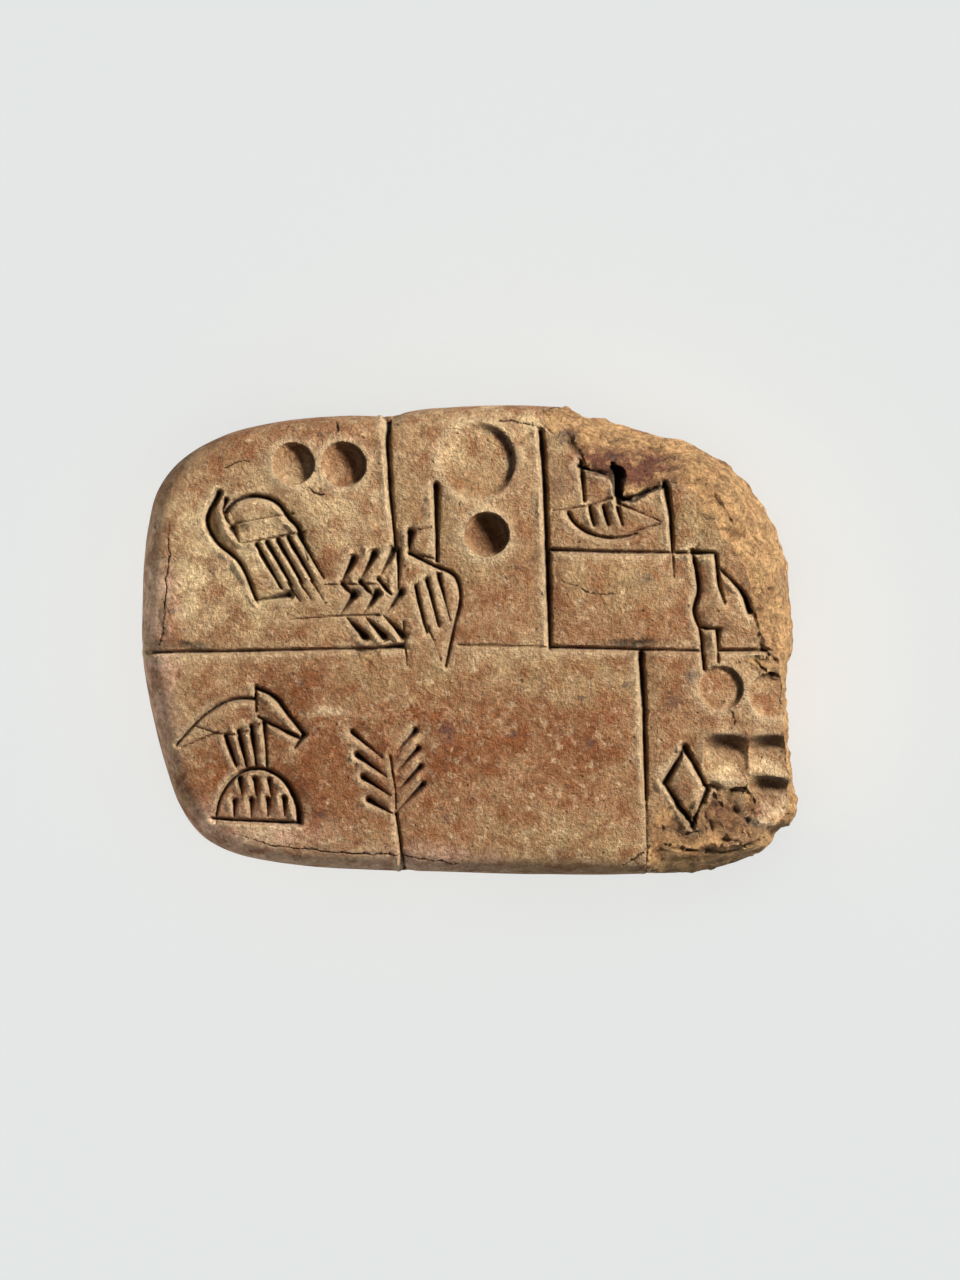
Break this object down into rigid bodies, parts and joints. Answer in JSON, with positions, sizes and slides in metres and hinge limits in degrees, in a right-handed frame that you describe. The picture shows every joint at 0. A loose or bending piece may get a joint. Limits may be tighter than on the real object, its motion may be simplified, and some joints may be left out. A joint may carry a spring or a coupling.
{
  "type": "clay tablet",
  "caption": "Pillow-shaped clay tablet, ruled into cases and pressed with round and wedge marks, with its right end broken away.",
  "frame": {"origin": "the underside's plane, below the middle of the tablet's bounding box", "axes": "+X along the tablet to its broken right end, +Y up the written face, +Z out of the written face"},
  "size_m": [0.085, 0.061, 0.0221],
  "materials": {
    "clay": "dry, unglazed clay"
  },
  "bodies": {
    "root": {"tablet": "clay"}
  },
  "joints": []
}
